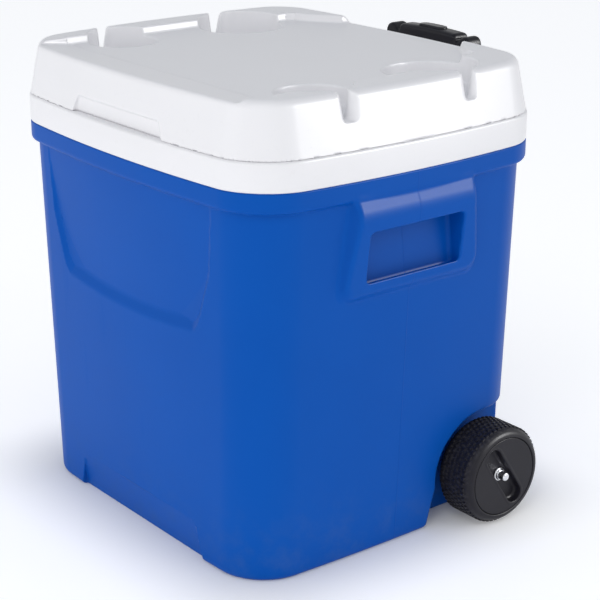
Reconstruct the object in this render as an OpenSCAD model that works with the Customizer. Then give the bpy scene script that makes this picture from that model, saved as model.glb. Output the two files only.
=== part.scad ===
// Wheeled cube cooler: a foam-filled blue body with a white liner, a lift-off lid with four
// self-draining cup recesses, two moulded side handles, two wheels on a through axle and a
// telescopic tow handle behind.
// Millimetres. X runs across (right side positive), Y runs to the back, Z up; the origin is
// on the ground under the middle of the collar.

/* [Body] */
// Width over the collar at mid-side
top_w = 460; // [400:1:560]
// Depth over the collar at mid-side
top_d = 402; // [350:0.5:490]
// Height of the blue body, ground to the joint with the white rim
body_h = 409.5; // [340:0.5:490]
// How much narrower and shallower the foot is than the collar
base_shrink_w = 50; // [20:1:70]
base_shrink_d = 29.5; // [20:0.5:60]
// Outward bow of each side at the collar and at the foot
side_crown = 13.75; // [4:0.25:18]
foot_crown = 6; // [2:0.5:10]
// Corner radius seen from above
corner_r = 52; // [35:1:60]
// Skin thickness of the blue body
wall = 3; // [2:0.5:4]
// Height and overhang of the collar
collar_h = 21; // [14:1:30]
collar_over = 5.8; // [3:0.2:9]
// Rounding of the foot
foot_r = 7; // [3:1:10]

/* [Front] */
// Depth of the badge recess at its lower ledge
badge_depth = 7.5; // [4:0.5:9]
// Half-width of the recess along its lower edge
badge_half = 124; // [90:1:130]
// Height of the toe-kick and how deep it cuts at the ground
toe_h = 44; // [30:1:60]
toe_depth = 9; // [5:1:12]
// Half-width of the toe-kick at the ground
toe_half = 116; // [80:1:125]

/* [Side handles] */
// How far the grip bar stands out from the collar
bar_out = 5.5; // [3:0.5:9]
// Half-length of the handle at its top and at its foot
handle_top_half = 73; // [60:1:90]
handle_foot_half = 82; // [70:1:95]
// Half-length and height of the hand opening
hand_half = 61; // [50:1:68]
hand_h = 52; // [40:1:56]

/* [Liner] */
// Height of the white rim between the blue body and the lid
rim_h = 29.5; // [20:0.5:45]
// Width of the rim's flat ledge
rim_ledge = 27.5; // [22:0.5:34]
// Skin thickness of the liner and lid mouldings
skin = 2.5; // [2:0.5:3]

/* [Lid] */
// Height of the lid above the rim
lid_h = 55; // [38:1:60]
// Step in from the rim, and lean of the lid's sides
lid_step = 1.5; // [1:0.5:8]
lid_lean = 9; // [6:0.5:14]
// Rounding of the top edge
lid_edge_r = 9; // [5:1:12]
// Depth of the top panel below the side rims
panel_drop = 9; // [4:0.5:12]
// Radius of the front and back cup recesses
cup_front_r = 38; // [32:1:44]
cup_back_r = 48; // [38:1:54]
// Height of the cup floors above the lid's lower edge
cup_floor_h = 27; // [18:0.5:32]
// Width of the drain slots
slot_w = 9; // [7:0.5:16]
// Half-width of the finger recess
finger_half = 77; // [50:1:95]

/* [Wheels] */
// Tyre radius and width
wheel_r = 54.5; // [40:0.5:62]
wheel_w = 50; // [34:1:58]
// How far the wheels stand out from the collar
wheel_out = 15.5; // [2:0.5:18]
// Axle radius and its distance behind the middle
axle_r = 4.5; // [4:0.5:6]
axle_y = 120; // [105:1:150]
// Clearance between the tyre and the wheel arch
arch_gap = 9; // [6:1:26]

/* [Tow handle] */
// Distance from the collar's back to the tubes
tube_off = 27.25; // [22:0.25:36]
// Half the distance between the tubes
tube_half = 58; // [50:1:75]
// Outer tube radius and inner tube radius
outer_r = 9; // [8:0.5:11]
inner_r = 7; // [6:0.5:7.5]
// Half-length, depth and height of the grip
grip_half = 67; // [64:1:90]
grip_d = 22; // [21:1:30]
grip_h = 25; // [22:1:30]
// Travel of the release button
button_travel = 4; // [3:0.5:5]

/* [Fits] */
// Gap between pieces that only lie against each other
lie_gap = 0.25; // [0.1:0.05:0.5]
// Radial clearance of a running fit
run_gap = 0.06; // [0.03:0.01:0.1]
// Radial clearance of a pressed piece
press_gap = 0.02; // [0.01:0.01:0.05]
// Gap between the lid's plug and the liner's mouth
plug_gap = 1.5; // [0.8:0.1:3]
// Facets of round features
$fn = 64; // [32:8:96]

/* [Hidden] */

BLUE = [0.02, 0.29, 0.66];
WHITE = [0.90, 0.90, 0.92];
FOAM = [0.93, 0.87, 0.68];
BLACK = [0.10, 0.10, 0.12];
GREY = [0.22, 0.23, 0.26];
STEEL = [0.75, 0.76, 0.78];

far = 600;               // longer than the whole cooler
outline_steps = 10;      // points along each side and each corner of an outline

// Heights
neck_z = body_h - collar_h;
rim_z = body_h + rim_h;
lid_z0 = rim_z + lie_gap;
lid_top = rim_z + lid_h;
panel_z = lid_top - panel_drop;
cup_z = rim_z + cup_floor_h;
axle_z = wheel_r + 0.5;
channel_half = 8;
tub_floor = axle_z + channel_half + wall + 11.5;

// Half sizes at the collar, the foot and the neck
top_hx = top_w / 2;
top_hy = top_d / 2;
foot_hx = (top_w - base_shrink_w) / 2;
foot_hy = (top_d - base_shrink_d) / 2;
neck_hx = top_hx - collar_over;
neck_hy = top_hy - collar_over;

// Wheels, well and axle
wheel_x1 = top_hx + wheel_out;
wheel_x0 = wheel_x1 - wheel_w;
well_x = wheel_x0 - 22;
hub_x0 = well_x + 3;
arch_r = wheel_r + arch_gap;
boss_len = 17;
axle_end = wheel_x1 + 3;
tyre_t = 11;
disc_r = wheel_r - tyre_t - 0.5;
disc_t = 3.5;
dish_depth = 9;
slot_half = 29;          // half the straight run of the hub's stadium dish
slot_r = 10;
slot_lean = 33;          // lean of the dish from upright

// Tub
tub_top_hx = top_hx - rim_ledge;
tub_top_hy = top_hy - rim_ledge;
tub_foot_hx = well_x - wall - 11;
tub_foot_hy = foot_hy - 27;
tub_r = corner_r - 14;

// Side handle, heights measured down from the neck
bar_x = top_hx + bar_out;
handle_top_z = neck_z + 7;
bar_z = neck_z - 14;
handle_foot_z = neck_z - 96;
hand_z1 = neck_z - 31;
hand_z0 = hand_z1 - hand_h;
face_foot_x = bar_x - 10.5;
pocket_x = top_hx - 23.5;
pocket_top_z = hand_z1 + 19;

// Badge recess
badge_z0 = neck_z - 144;
badge_in_z = badge_z0 + 18;
badge_flare = 28;

// Lid outline
lid_hx = top_hx - lid_step;
lid_hy = top_hy - lid_step;
lid_r = corner_r - 2;
cup_front = [lid_hx - lid_lean - 16.5 - cup_front_r, -0.39 * top_hy];
cup_back = [lid_hx - lid_lean - 12.5 - cup_back_r, 0.38 * top_hy];
plug_h = 16;

// Tow handle
tube_y = top_hy + tube_off;
tube_z0 = 78;
tube_z1 = rim_z + 2;
tube_t = 1.2;
bush_flange_h = 8;
spigot_h = 38;
grip_top = lid_top - 3.5;
grip_z0 = grip_top - grip_h;
split_z = grip_z0 + 11;
inner_z0 = tube_z0 + 14;
inner_z1 = grip_z0 + 8;
latch_z = inner_z1 + button_travel + 1;
latch_t = 2.5;
glide_h = 14;
bracket_h = 30;
bracket_half = 92;
screw_x = [-86, -32, 32, 86];
bracket_low_z = 86;
bracket_top_z = neck_z - 35;
grip_screw = [44, 6.5];
core_half = 33;          // hollow of the grip under the button
button_half = 20;
button_r = 6.5;
button_top = grip_top + 1.2;
roof_z = grip_top - 3.8;  // underside of the grip's top over the hollow

// ---------------------------------------------------------------- outlines and lofts

function mix(a, b, t) = a + (b - a) * t;

// One point of a plain rounded rectangle pushed out by the bow of its sides
function bowed(p, a, b, c) = [
    p.x * (1 + c / a * (1 - pow(p.y / b, 2))),
    p.y * (1 + c / b * (1 - pow(p.x / a, 2))),
];

// Outline with half sizes hx, hy at mid-side, corner radius r and bow c
function outline(hx, hy, r, c) =
    let (a = hx - c, b = hy - c, n = outline_steps)
    [for (q = [0:3])
        let (sx = (q == 0 || q == 3) ? 1 : -1, sy = q < 2 ? 1 : -1,
             mx = sx * (a - r), my = sy * (b - r),
             nx = (q == 0 || q == 2) ? -mx : mx, ny = (q == 0 || q == 2) ? my : -my)
        each concat(
            [for (i = [0:n])
                let (t = q * 90 + i * 90 / n)
                bowed([mx + r * cos(t), my + r * sin(t)], a, b, c)],
            [for (i = [1:n - 1])
                let (t = (q + 1) * 90, k = i / n)
                bowed([mix(mx, nx, k) + r * cos(t), mix(my, ny, k) + r * sin(t)], a, b, c)]
        )];

// Outline lifted to height z
function ring(z, hx, hy, r, c) = [for (p = outline(hx, hy, r, c)) [p.x, p.y, z]];

// Solid through a list of rings with equal point counts, each ring anticlockwise when
// seen from the last one
module loft(rings) {
    n = len(rings[0]);
    last = len(rings) - 1;
    polyhedron(
        points = [for (g = rings) each g],
        faces = concat(
            [[for (i = [0:n - 1]) i], [for (i = [n - 1:-1:0]) last * n + i]],
            [for (k = [0:last - 1], i = [0:n - 1])
                let (a = k * n + i, b = k * n + (i + 1) % n)
                each [[a, a + n, b + n], [a, b + n, b]]]
        ));
}

// Outline of the blue body at height z, drawn in by inset
function body_ring(z, inset) =
    let (t = z / neck_z)
    ring(z, mix(foot_hx, neck_hx, t) - inset, mix(foot_hy, neck_hy, t) - inset,
        corner_r - inset, mix(foot_crown, side_crown, t));

// Outside of the blue body below the collar; grow > 0 makes it larger
module body_block(grow = 0) {
    loft(concat(
        [for (t = [90:-22.5:0]) body_ring(foot_r * (1 - sin(t)), foot_r * (1 - cos(t)) - grow)],
        [body_ring(neck_z + 2, -grow)]
    ));
}

module collar_block() {
    edge = 5;
    loft(concat(
        [for (t = [90:-30:0])
            let (d = edge * (1 - cos(t)))
            ring(neck_z + edge * (1 - sin(t)), top_hx - d, top_hy - d, corner_r, side_crown)],
        [ring(body_h, top_hx, top_hy, corner_r, side_crown)]
    ));
}

// Space inside the blue skin
module body_hollow(inset, z0, z1) {
    loft([body_ring(z0, inset + 1), body_ring(neck_z, inset),
        ring(z1, neck_hx - inset, neck_hy - inset, corner_r - inset, side_crown)]);
}

module tub_block(inset, z0, z1) {
    function t(z) = (z - tub_floor) / (rim_z - tub_floor);
    loft([for (z = [z0, z1])
        ring(z, mix(tub_foot_hx, tub_top_hx, t(z)) - inset,
            mix(tub_foot_hy, tub_top_hy, t(z)) - inset, tub_r - inset, side_crown / 2)]);
}

module rim_block(inset, z0, z1) {
    translate([0, 0, z0]) linear_extrude(z1 - z0)
        polygon(outline(top_hx - inset, top_hy - inset, corner_r - inset, side_crown));
}

// Outside of the lid, drawn in by inset and topped at z1
module lid_block(inset, z0, z1, edge) {
    function lean(z) = lid_lean * (z - lid_z0) / (lid_top - lid_edge_r - lid_z0);
    d0 = inset + lean(z0);
    loft(concat(
        [ring(z0, lid_hx - d0, lid_hy - d0, lid_r - d0, side_crown)],
        [for (t = [0:18:90])
            let (d = inset + lean(z1 - edge) + edge * (1 - cos(t)))
            ring(z1 - edge * (1 - sin(t)), lid_hx - d, lid_hy - d, lid_r - d, side_crown)]
    ));
}

// ---------------------------------------------------------------- helpers

// Extrusions of a drawing: along X from a Y-Z drawing, along Y from an X-Z drawing
module along_x(x0, x1) {
    translate([x0, 0, 0]) rotate([90, 0, 90]) linear_extrude(x1 - x0) children();
}

module along_y(y0, y1) {
    translate([0, y1, 0]) rotate([90, 0, 0]) linear_extrude(y1 - y0) children();
}

module span(x0, x1, y0, y1, z0, z1) {
    translate([x0, y0, z0]) cube([x1 - x0, y1 - y0, z1 - z0]);
}

// Cylinder or tube along X, Y or Z
module rod_x(x0, x1, r) {
    translate([x0, axle_y, axle_z]) rotate([0, 90, 0]) cylinder(h = x1 - x0, r = r);
}

module post(x, y, z0, z1, r) {
    translate([x, y, z0]) cylinder(h = z1 - z0, r = r);
}

module tube(x, y, z0, z1, r, hole) {
    difference() {
        post(x, y, z0, z1, r);
        post(x, y, z0 - 1, z1 + 1, hole);
    }
}

// Rectangle from (x0, y0) to (x1, y1) with rounded corners
module pane(x0, x1, y0, y1, r) {
    translate([x0 + r, y0]) square([x1 - x0 - 2 * r, y1 - y0]);
    translate([x0, y0 + r]) square([x1 - x0, y1 - y0 - 2 * r]);
    for (x = [x0 + r, x1 - r], y = [y0 + r, y1 - r])
        translate([x, y]) circle(r);
}

module stadium(half, r) {
    square([2 * half, 2 * r], center = true);
    for (s = [-1, 1])
        translate([s * half, 0]) circle(r);
}

module both_sides() {
    children();
    mirror([1, 0, 0]) children();
}

// ---------------------------------------------------------------- body

// Side handle as seen from above the grip: profile in X-Z, outline in Y-Z
module handle_block() {
    intersection() {
        along_y(-handle_foot_half, handle_foot_half)
            polygon([
                [pocket_x - wall, handle_top_z], [neck_hx + 1.5, handle_top_z], [bar_x, bar_z],
                [face_foot_x, handle_foot_z], [foot_hx + 8, handle_foot_z - 9],
                [pocket_x - wall, handle_foot_z - 9],
            ]);
        along_x(0, far)
            union() {
                polygon([
                    [-handle_top_half, handle_top_z + 1], [handle_top_half, handle_top_z + 1],
                    [handle_foot_half, handle_foot_z + 16], [-handle_foot_half, handle_foot_z + 16],
                ]);
                pane(-handle_foot_half, handle_foot_half, handle_foot_z - 10,
                    handle_foot_z + 34, 15);
            }
    }
}

// Hand pocket: opening in the face, reaching up behind the bar
module pocket_cut() {
    bar_in = bar_x - 12;
    intersection() {
        along_y(-hand_half, hand_half)
            polygon([
                [far, hand_z0], [face_foot_x + 1.5, hand_z0], [pocket_x + 3, hand_z0 - 10],
                [pocket_x, hand_z0 - 6], [pocket_x, pocket_top_z - 5],
                [pocket_x + 5, pocket_top_z], [bar_in - 4, pocket_top_z],
                [bar_in, pocket_top_z - 5], [bar_in, hand_z1], [far, hand_z1],
            ]);
        along_x(0, far) pane(-hand_half, hand_half, hand_z0 - 12, pocket_top_z + 2, 12);
    }
}

// Pocket walls inside the skin
module pocket_boss(grow) {
    span(pocket_x - wall - grow, far, -hand_half - wall - grow, hand_half + wall + grow,
        hand_z0 - 10 - wall - grow, pocket_top_z + wall + grow);
}

// Wheel well on the right, open below, behind and outside
module well_cut(grow) {
    x0 = well_x - grow;
    r = arch_r + grow;
    rod_x(x0, far, r);
    span(x0, far, axle_y, far, -far, axle_z + r);
    along_x(x0, far)
        polygon([
            [axle_y - r, axle_z], [axle_y - r, axle_z - 12], [axle_y - r - 11, -1 - grow],
            [axle_y - r - 11, -far], [axle_y, -far], [axle_y, axle_z],
        ]);
}

// Slope under the back that lets the cooler tip onto its wheels
module tilt_cut(grow) {
    along_x(-far, far)
        polygon([
            [foot_hy - 34 - grow, -far], [foot_hy - 34 - grow, 0],
            [foot_hy + 8, 52 + grow], [far, 52 + grow], [far, -far],
        ]);
}

module channel_cut() {
    span(-well_x + boss_len, well_x - boss_len, axle_y - channel_half, axle_y + channel_half,
        -1, axle_z + channel_half);
}

module channel_boss(grow) {
    g = wall + grow;
    span(-well_x, well_x, axle_y - channel_half - g, axle_y + channel_half + g,
        -1, axle_z + channel_half + g);
}

// Badge recess: deep at its lower ledge, fading out at the neck
module badge_cut() {
    // Six-cornered window at depth y: lower edge at z0, half-widths w0 below and w1 above
    function window(y, z0, w0, w1) =
        let (zm = z0 + 60, wm = w0 + badge_flare * 0.8, z1 = neck_z - 1)
        [[-w0, y, z0], [-wm, y, zm], [-w1, y, z1], [w1, y, z1], [wm, y, zm], [w0, y, z0]];
    front = mix(foot_hy, neck_hy, badge_z0 / neck_z);
    w1 = badge_half + badge_flare;
    difference() {
        loft([
            window(-front - 20, badge_z0 - 36, badge_half + 14, w1 + 8),
            window(-front + badge_depth, badge_in_z, badge_half - 7, w1 - 6),
        ]);
        loft([
            ring(badge_z0 - 40, foot_hx, front - badge_depth - 1, corner_r, side_crown),
            ring(neck_z, neck_hx, neck_hy + 0.1, corner_r, side_crown),
        ]);
    }
}

// Toe-kick under the front: wedge with rounded upper corners
module toe_cut() {
    lift = mix(foot_hy, neck_hy, toe_h / neck_z);
    intersection() {
        along_x(-far, far)
            polygon([
                [-far, -1], [-far, toe_h + 20], [-lift + 1.5, toe_h + 20], [-lift + 1.5, toe_h],
                [-foot_hy + toe_depth, -1],
            ]);
        along_y(-far, 0)
            union() {
                pane(-toe_half + 11, toe_half - 11, -20, toe_h, 9);
                polygon([
                    [-toe_half, -1], [toe_half, -1], [toe_half - 11, toe_h - 9],
                    [-toe_half + 11, toe_h - 9],
                ]);
            }
    }
}

module bracket_holes(r) {
    for (x = screw_x, z = [bracket_low_z, bracket_top_z])
        translate([x, top_hy + 10, z + bracket_h / 2]) rotate([90, 0, 0])
            cylinder(h = 60, r = r);
}

module body_shell() {
    color(BLUE)
        difference() {
            union() {
                body_block();
                collar_block();
                both_sides() handle_block();
            }
            difference() {
                body_hollow(wall, wall, body_h + 1);
                both_sides() pocket_boss(0);
                both_sides() well_cut(wall);
                tilt_cut(wall);
                channel_boss(0);
                span(-badge_half - 34, badge_half + 34, -far, -foot_hy + badge_depth - 2,
                    badge_z0 - 8, neck_z);
                span(-toe_half - 4, toe_half + 4, -far, -foot_hy + toe_depth + wall,
                    -1, toe_h + wall);
            }
            both_sides() pocket_cut();
            both_sides() well_cut(0);
            tilt_cut(0);
            channel_cut();
            badge_cut();
            toe_cut();
            rod_x(-well_x - 5, well_x + 5, axle_r + press_gap);
            bracket_holes(2 + press_gap);
        }
}

module foam_core() {
    g = lie_gap;
    color(FOAM)
        difference() {
            union() {
                body_hollow(wall + g, wall + g, body_h + 1);
                rim_block(skin + g, body_h, rim_z - skin - g);
            }
            tub_block(-skin - g, tub_floor - skin - g, rim_z + 1);
            both_sides() pocket_boss(g);
            both_sides() well_cut(wall + g);
            tilt_cut(wall + g);
            channel_boss(g);
            span(-badge_half - 34 - g, badge_half + 34 + g, -far,
                -foot_hy + badge_depth - 2 + g, badge_z0 - 8 - g, neck_z + g);
            span(-toe_half - 4 - g, toe_half + 4 + g, -far, -foot_hy + toe_depth + wall + g,
                -1, toe_h + wall + g);
            bracket_holes(2 + g);
        }
}

module liner() {
    color(WHITE)
        difference() {
            union() {
                difference() {
                    rim_block(0, body_h, rim_z);
                    rim_block(skin, body_h - 1, rim_z - skin);
                }
                tub_block(-skin, tub_floor - skin, rim_z - skin / 2);
            }
            tub_block(0, tub_floor, rim_z + 1);
        }
}

// ---------------------------------------------------------------- wheels

module axle() {
    color(STEEL) rod_x(-axle_end, axle_end, axle_r);
}

module washer() {
    color(STEEL)
        difference() {
            rod_x(well_x + 0.3, hub_x0 - 0.3, 10);
            rod_x(well_x, hub_x0, axle_r + press_gap);
        }
}

module push_nut() {
    x0 = wheel_x1 - dish_depth + 0.4;
    color(STEEL)
        difference() {
            union() {
                rod_x(x0, x0 + 1.2, 7.4);
                rod_x(x0, x0 + 3.2, 5.9);
            }
            rod_x(x0 - 1, x0 + 5, axle_r + press_gap);
        }
}

// Right wheel: tread ring, web and hub sleeve turned about the axle
module wheel() {
    shoulder = 9;
    rim_in = wheel_r - tyre_t;
    web = wheel_x1 - 18;
    color(BLACK)
        translate([0, axle_y, axle_z]) rotate([0, 90, 0])
            rotate_extrude()
                union() {
                    translate([rim_in, wheel_x0]) difference() {
                        pane(-shoulder * 2, wheel_r - rim_in, 0, wheel_w, shoulder);
                        translate([-shoulder * 2 - 1, -1])
                            square([shoulder * 2 + 1, wheel_w + 2]);
                    }
                    translate([axle_r + run_gap, web])
                        square([rim_in + 0.5 - axle_r - run_gap, 5]);
                    translate([axle_r + run_gap, hub_x0])
                        square([7, wheel_x1 - dish_depth - skin - 0.5 - hub_x0]);
                }
}

// Right hub disc: thin face with a stadium dish for the axle's end
module hub_disc() {
    face = wheel_x1 - 0.4;
    color(BLACK)
        difference() {
            union() {
                rod_x(face - disc_t, face, disc_r);
                hub_dish(wheel_x1 - dish_depth - skin, face, slot_r + skin);
            }
            hub_dish(wheel_x1 - dish_depth, far, slot_r);
            rod_x(0, far, axle_r + 0.4);
        }
}

module hub_dish(x0, x1, r) {
    translate([x0, axle_y, axle_z]) rotate([90, 0, 90]) rotate(90 + slot_lean)
        linear_extrude(x1 - x0) stadium(slot_half, r);
}

// ---------------------------------------------------------------- lid

// Footprint of the lowered top panel
module panel_plan() {
    front = -0.69 * top_hy;
    side = cup_front.x + 14;
    neck_y = 0.72 * top_hy;
    exit_half = 0.43 * top_hx;
    translate([-side, front]) square([2 * side, cup_back.y - front]);
    translate([-cup_back.x + 14, front])
        square([2 * cup_back.x - 28, neck_y - front]);
    polygon([
        [-cup_back.x + 14, neck_y - 1], [-exit_half, neck_y + 8], [-exit_half, far],
        [exit_half, far], [exit_half, neck_y + 8], [cup_back.x - 14, neck_y - 1],
    ]);
}

// Drain slot seen from above: straight throat, flared at both ends
module slot_plan(cup, r) {
    flare = 6;
    x0 = cup.x + r - 4;
    x1 = lid_hx + 4;
    mid = [cup.x + r + flare - 1, lid_hx - lid_lean - flare + 1];
    translate([0, cup.y]) {
        translate([x0, -slot_w / 2]) square([x1 - x0, slot_w]);
        for (s = [-1, 1])
            difference() {
                translate([mid[1], s * (slot_w / 2 + flare / 2) - flare / 2])
                    square([x1 - mid[1], flare]);
                translate([mid[1], s * (slot_w / 2 + flare)]) circle(flare);
            }
    }
}

// Cup recesses and their slots; grow > 0 gives the walls around them
module cups_cut(grow) {
    both_sides()
        for (c = [[cup_front, cup_front_r], [cup_back, cup_back_r]]) {
            post(c[0].x, c[0].y, cup_z - grow, lid_top + 1, c[1] + grow);
            if (grow == 0)
                translate([0, 0, cup_z]) linear_extrude(lid_h) slot_plan(c[0], c[1]);
            else
                span(c[0].x, far, c[0].y - slot_w / 2 - 6 - grow, c[0].y + slot_w / 2 + 6 + grow,
                    cup_z - grow, lid_top);
        }
}

module finger_cut(grow) {
    top = 17.5;
    along_y(-far, -lid_hy + 7.5 + grow)
        polygon([
            [-finger_half - 4 - grow, rim_z - 1], [finger_half + 4 + grow, rim_z - 1],
            [finger_half - 4.5 + grow, rim_z + top + grow],
            [-finger_half + 4.5 - grow, rim_z + top + grow],
        ]);
}

module lid_shell() {
    color(WHITE)
        difference() {
            lid_block(0, lid_z0, lid_top, lid_edge_r);
            difference() {
                lid_block(skin, lid_z0 - 1, panel_z - skin, 2);
                cups_cut(skin);
                finger_cut(skin);
            }
            translate([0, 0, panel_z]) linear_extrude(far) panel_plan();
            cups_cut(0);
            finger_cut(0);
        }
}

module lid_foam() {
    g = lie_gap;
    color(FOAM)
        difference() {
            lid_block(skin + g, lid_z0 + skin + g, panel_z - skin - g, 2);
            cups_cut(skin + g);
            finger_cut(skin + g);
        }
}

// Underside of the lid: flat plate with a hollow plug that drops into the liner's mouth
module lid_liner() {
    g = lie_gap;
    z0 = rim_z - plug_h;
    color(WHITE)
        difference() {
            union() {
                intersection() {
                    lid_block(skin + g, lid_z0, lid_top, 2);
                    span(-far, far, -far, far, lid_z0, lid_z0 + skin);
                }
                tub_block(plug_gap, z0, lid_z0 + 1);
            }
            tub_block(plug_gap + skin, z0 + skin, lid_z0 + 0.01);
            finger_cut(skin + g);
        }
}

// ---------------------------------------------------------------- tow handle

// Bracket: plate on the back wall with an arm round each tube
module bracket(z0) {
    z1 = z0 + bracket_h;
    plate_y = top_hy + 1.25 - (neck_z - z1) * (neck_hy - foot_hy) / neck_z;
    arm = outer_r + 4.5;
    color(BLACK)
        difference() {
            union() {
                along_y(0, plate_y)
                    pane(-bracket_half, bracket_half, z0, z1, 6);
                both_sides() {
                    span(tube_half - arm, tube_half + arm, plate_y - 1, tube_y, z0, z1);
                    post(tube_half, tube_y, z0, z1, arm);
                }
            }
            body_block(lie_gap);
            both_sides() post(tube_half, tube_y, z0 - 1, z1 + 1, outer_r + press_gap);
            both_sides() span(tube_half - 3, tube_half + 3, 0, plate_y + 4, z0 + 6, z1 - 6);
            for (x = screw_x)
                translate([x, far, z0 + bracket_h / 2]) rotate([90, 0, 0])
                    cylinder(h = far, r = 2 + press_gap);
        }
}

module bracket_screws() {
    color(STEEL)
        for (x = screw_x, z0 = [bracket_low_z, bracket_top_z]) {
            z1 = z0 + bracket_h;
            plate_y = top_hy + 1.25 - (neck_z - z1) * (neck_hy - foot_hy) / neck_z;
            translate([x, plate_y + lie_gap / 2, z0 + bracket_h / 2]) {
                rotate([90, 0, 0]) cylinder(h = 16, r = 2);
                rotate([-90, 0, 0]) cylinder(h = 2.4, r = 4.2);
            }
        }
}

module outer_tube() {
    color(GREY) tube(tube_half, tube_y, tube_z0, tube_z1, outer_r, outer_r - tube_t);
}

module tube_cap() {
    color(BLACK) {
        post(tube_half, tube_y, tube_z0 - 3, tube_z0, outer_r);
        post(tube_half, tube_y, tube_z0 - 1, tube_z0 + 10, outer_r - tube_t - press_gap);
    }
}

module guide_bush() {
    color(BLACK)
        difference() {
            union() {
                post(tube_half, tube_y, tube_z1, tube_z1 + bush_flange_h, outer_r + 2.5);
                post(tube_half, tube_y, tube_z1 - spigot_h, tube_z1 + 1,
                    outer_r - tube_t - press_gap);
            }
            post(tube_half, tube_y, 0, far, inner_r + run_gap);
        }
}

module inner_tube() {
    color(STEEL) tube(tube_half, tube_y, inner_z0, inner_z1, inner_r, inner_r - 1);
}

module tube_glide() {
    color(BLACK)
        difference() {
            union() {
                post(tube_half, tube_y, inner_z0 - 3, inner_z0, outer_r - tube_t - run_gap);
                post(tube_half, tube_y, inner_z0 - 1, inner_z0 + glide_h,
                    inner_r - 1 - press_gap);
            }
            post(tube_half, tube_y, 0, far, 2.6);
        }
}

// Grip outline seen from behind: arched middle, a valley and a knob over each tube
module grip_front() {
    mid_half = 46;
    knob_r = 8;
    knob_x = grip_half + 0.5 - knob_r;
    arch_rise = 2.5;
    arch_big_r = (pow(mid_half, 2) + pow(arch_rise, 2)) / (2 * arch_rise);
    pane(-grip_half, grip_half, grip_z0, grip_z0 + 15, 6);
    intersection() {
        pane(-mid_half, mid_half, grip_z0, grip_top + 4, 5);
        translate([0, grip_top - arch_big_r]) circle(arch_big_r, $fn = 360);
    }
    for (s = [-1, 1])
        translate([s * knob_x, grip_top - 3.5 - knob_r]) circle(knob_r);
}

module grip_block() {
    intersection() {
        along_y(tube_y - grip_d, tube_y + grip_d) grip_front();
        along_x(-grip_half - 2, grip_half + 2)
            pane(tube_y - grip_d / 2, tube_y + grip_d / 2, grip_z0, grip_top + 0.4, 7);
    }
}

// Everything hollow in the grip: button well, latch channel, tube sockets, screw holes
module grip_hollow() {
    bar_half = 4;
    span(-core_half, core_half, tube_y - 8.8, tube_y + 8.8, grip_z0 + 4, roof_z);
    span(-tube_half - 4, tube_half + 4, tube_y - bar_half, tube_y + bar_half,
        inner_z1, latch_z + latch_t + 1);
    both_sides() post(tube_half, tube_y, 0, inner_z1, inner_r + press_gap);
    translate([0, tube_y, roof_z - 1]) linear_extrude(20)
        stadium(button_half - button_r + 0.3, button_r + 0.3);
    for (x = [-1, 1] * grip_screw.x, y = [-1, 1] * grip_screw.y)
        post(x, tube_y + y, grip_z0 + 1.5, grip_top - 7, 1.25 + press_gap);
    for (x = [-1, 1] * grip_screw.x, y = [-1, 1] * grip_screw.y)
        post(x, tube_y + y, grip_z0 - 1, grip_z0 + 3.5, 2.4);
}

module grip_lower() {
    color(GREY)
        difference() {
            grip_block();
            grip_hollow();
            span(-far, far, 0, far, split_z, far);
        }
}

module grip_upper() {
    color(GREY)
        difference() {
            grip_block();
            grip_hollow();
            span(-far, far, 0, far, 0, split_z + 0.05);
        }
}

module grip_screws() {
    color(STEEL)
        for (x = [-1, 1] * grip_screw.x, y = [-1, 1] * grip_screw.y) {
            post(x, tube_y + y, grip_z0 + 2, grip_top - 8, 1.25);
            post(x, tube_y + y, grip_z0 + 2, grip_z0 + 3.45, 2.3);
        }
}

module release_button() {
    color(GREY) {
        translate([0, tube_y, roof_z - 3]) linear_extrude(button_top - roof_z + 3)
            stadium(button_half - button_r, button_r);
        span(-button_half - 4, button_half + 4, tube_y - 8, tube_y + 8,
            roof_z - 3, roof_z - 0.3);
        span(-14, 14, tube_y - 2.5, tube_y + 2.5, latch_z + latch_t, roof_z - 1);
    }
}

// Latch bar across the grip with a rod down each inner tube
module latch_bar() {
    color(STEEL) {
        span(-tube_half - 3, tube_half + 3, tube_y - 2.5, tube_y + 2.5,
            latch_z, latch_z + latch_t);
        both_sides() post(tube_half, tube_y, inner_z0 + 8, latch_z + 1, 2);
    }
}

module button_spring() {
    color(STEEL) tube(0, tube_y, grip_z0 + 4, latch_z, 4.2, 3.2);
}

module on_left() {
    mirror([1, 0, 0]) children();
}

body_shell();
foam_core();
liner();
axle();
on_left() washer();  // washer_left
washer();  // washer_right
on_left() push_nut();  // push_nut_left
push_nut();  // push_nut_right
on_left() wheel();  // wheel_left
wheel();  // wheel_right
on_left() hub_disc();  // hub_disc_left
hub_disc();  // hub_disc_right
lid_shell();
lid_foam();
lid_liner();
bracket(bracket_top_z);  // upper_bracket
bracket(bracket_low_z);  // lower_bracket
bracket_screws();
on_left() outer_tube();  // outer_tube_left
outer_tube();  // outer_tube_right
on_left() tube_cap();  // tube_cap_left
tube_cap();  // tube_cap_right
on_left() guide_bush();  // guide_bush_left
guide_bush();  // guide_bush_right
on_left() inner_tube();  // inner_tube_left
inner_tube();  // inner_tube_right
on_left() tube_glide();  // tube_glide_left
tube_glide();  // tube_glide_right
grip_lower();
grip_upper();
grip_screws();
release_button();
latch_bar();
button_spring();
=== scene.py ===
# %% [markdown]
# # A cube cooler on wheels
# The real thing is a blow-moulded blue body filled with foam, a white liner whose rim shows
# above it, a white lid with cup recesses, two black wheels and a telescopic tow handle. The CAD
# model is loaded first and stays the master of every size: each piece made here takes its place
# from a CAD node's box, and only adds the roundings and finishes that a mould gives.

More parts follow.
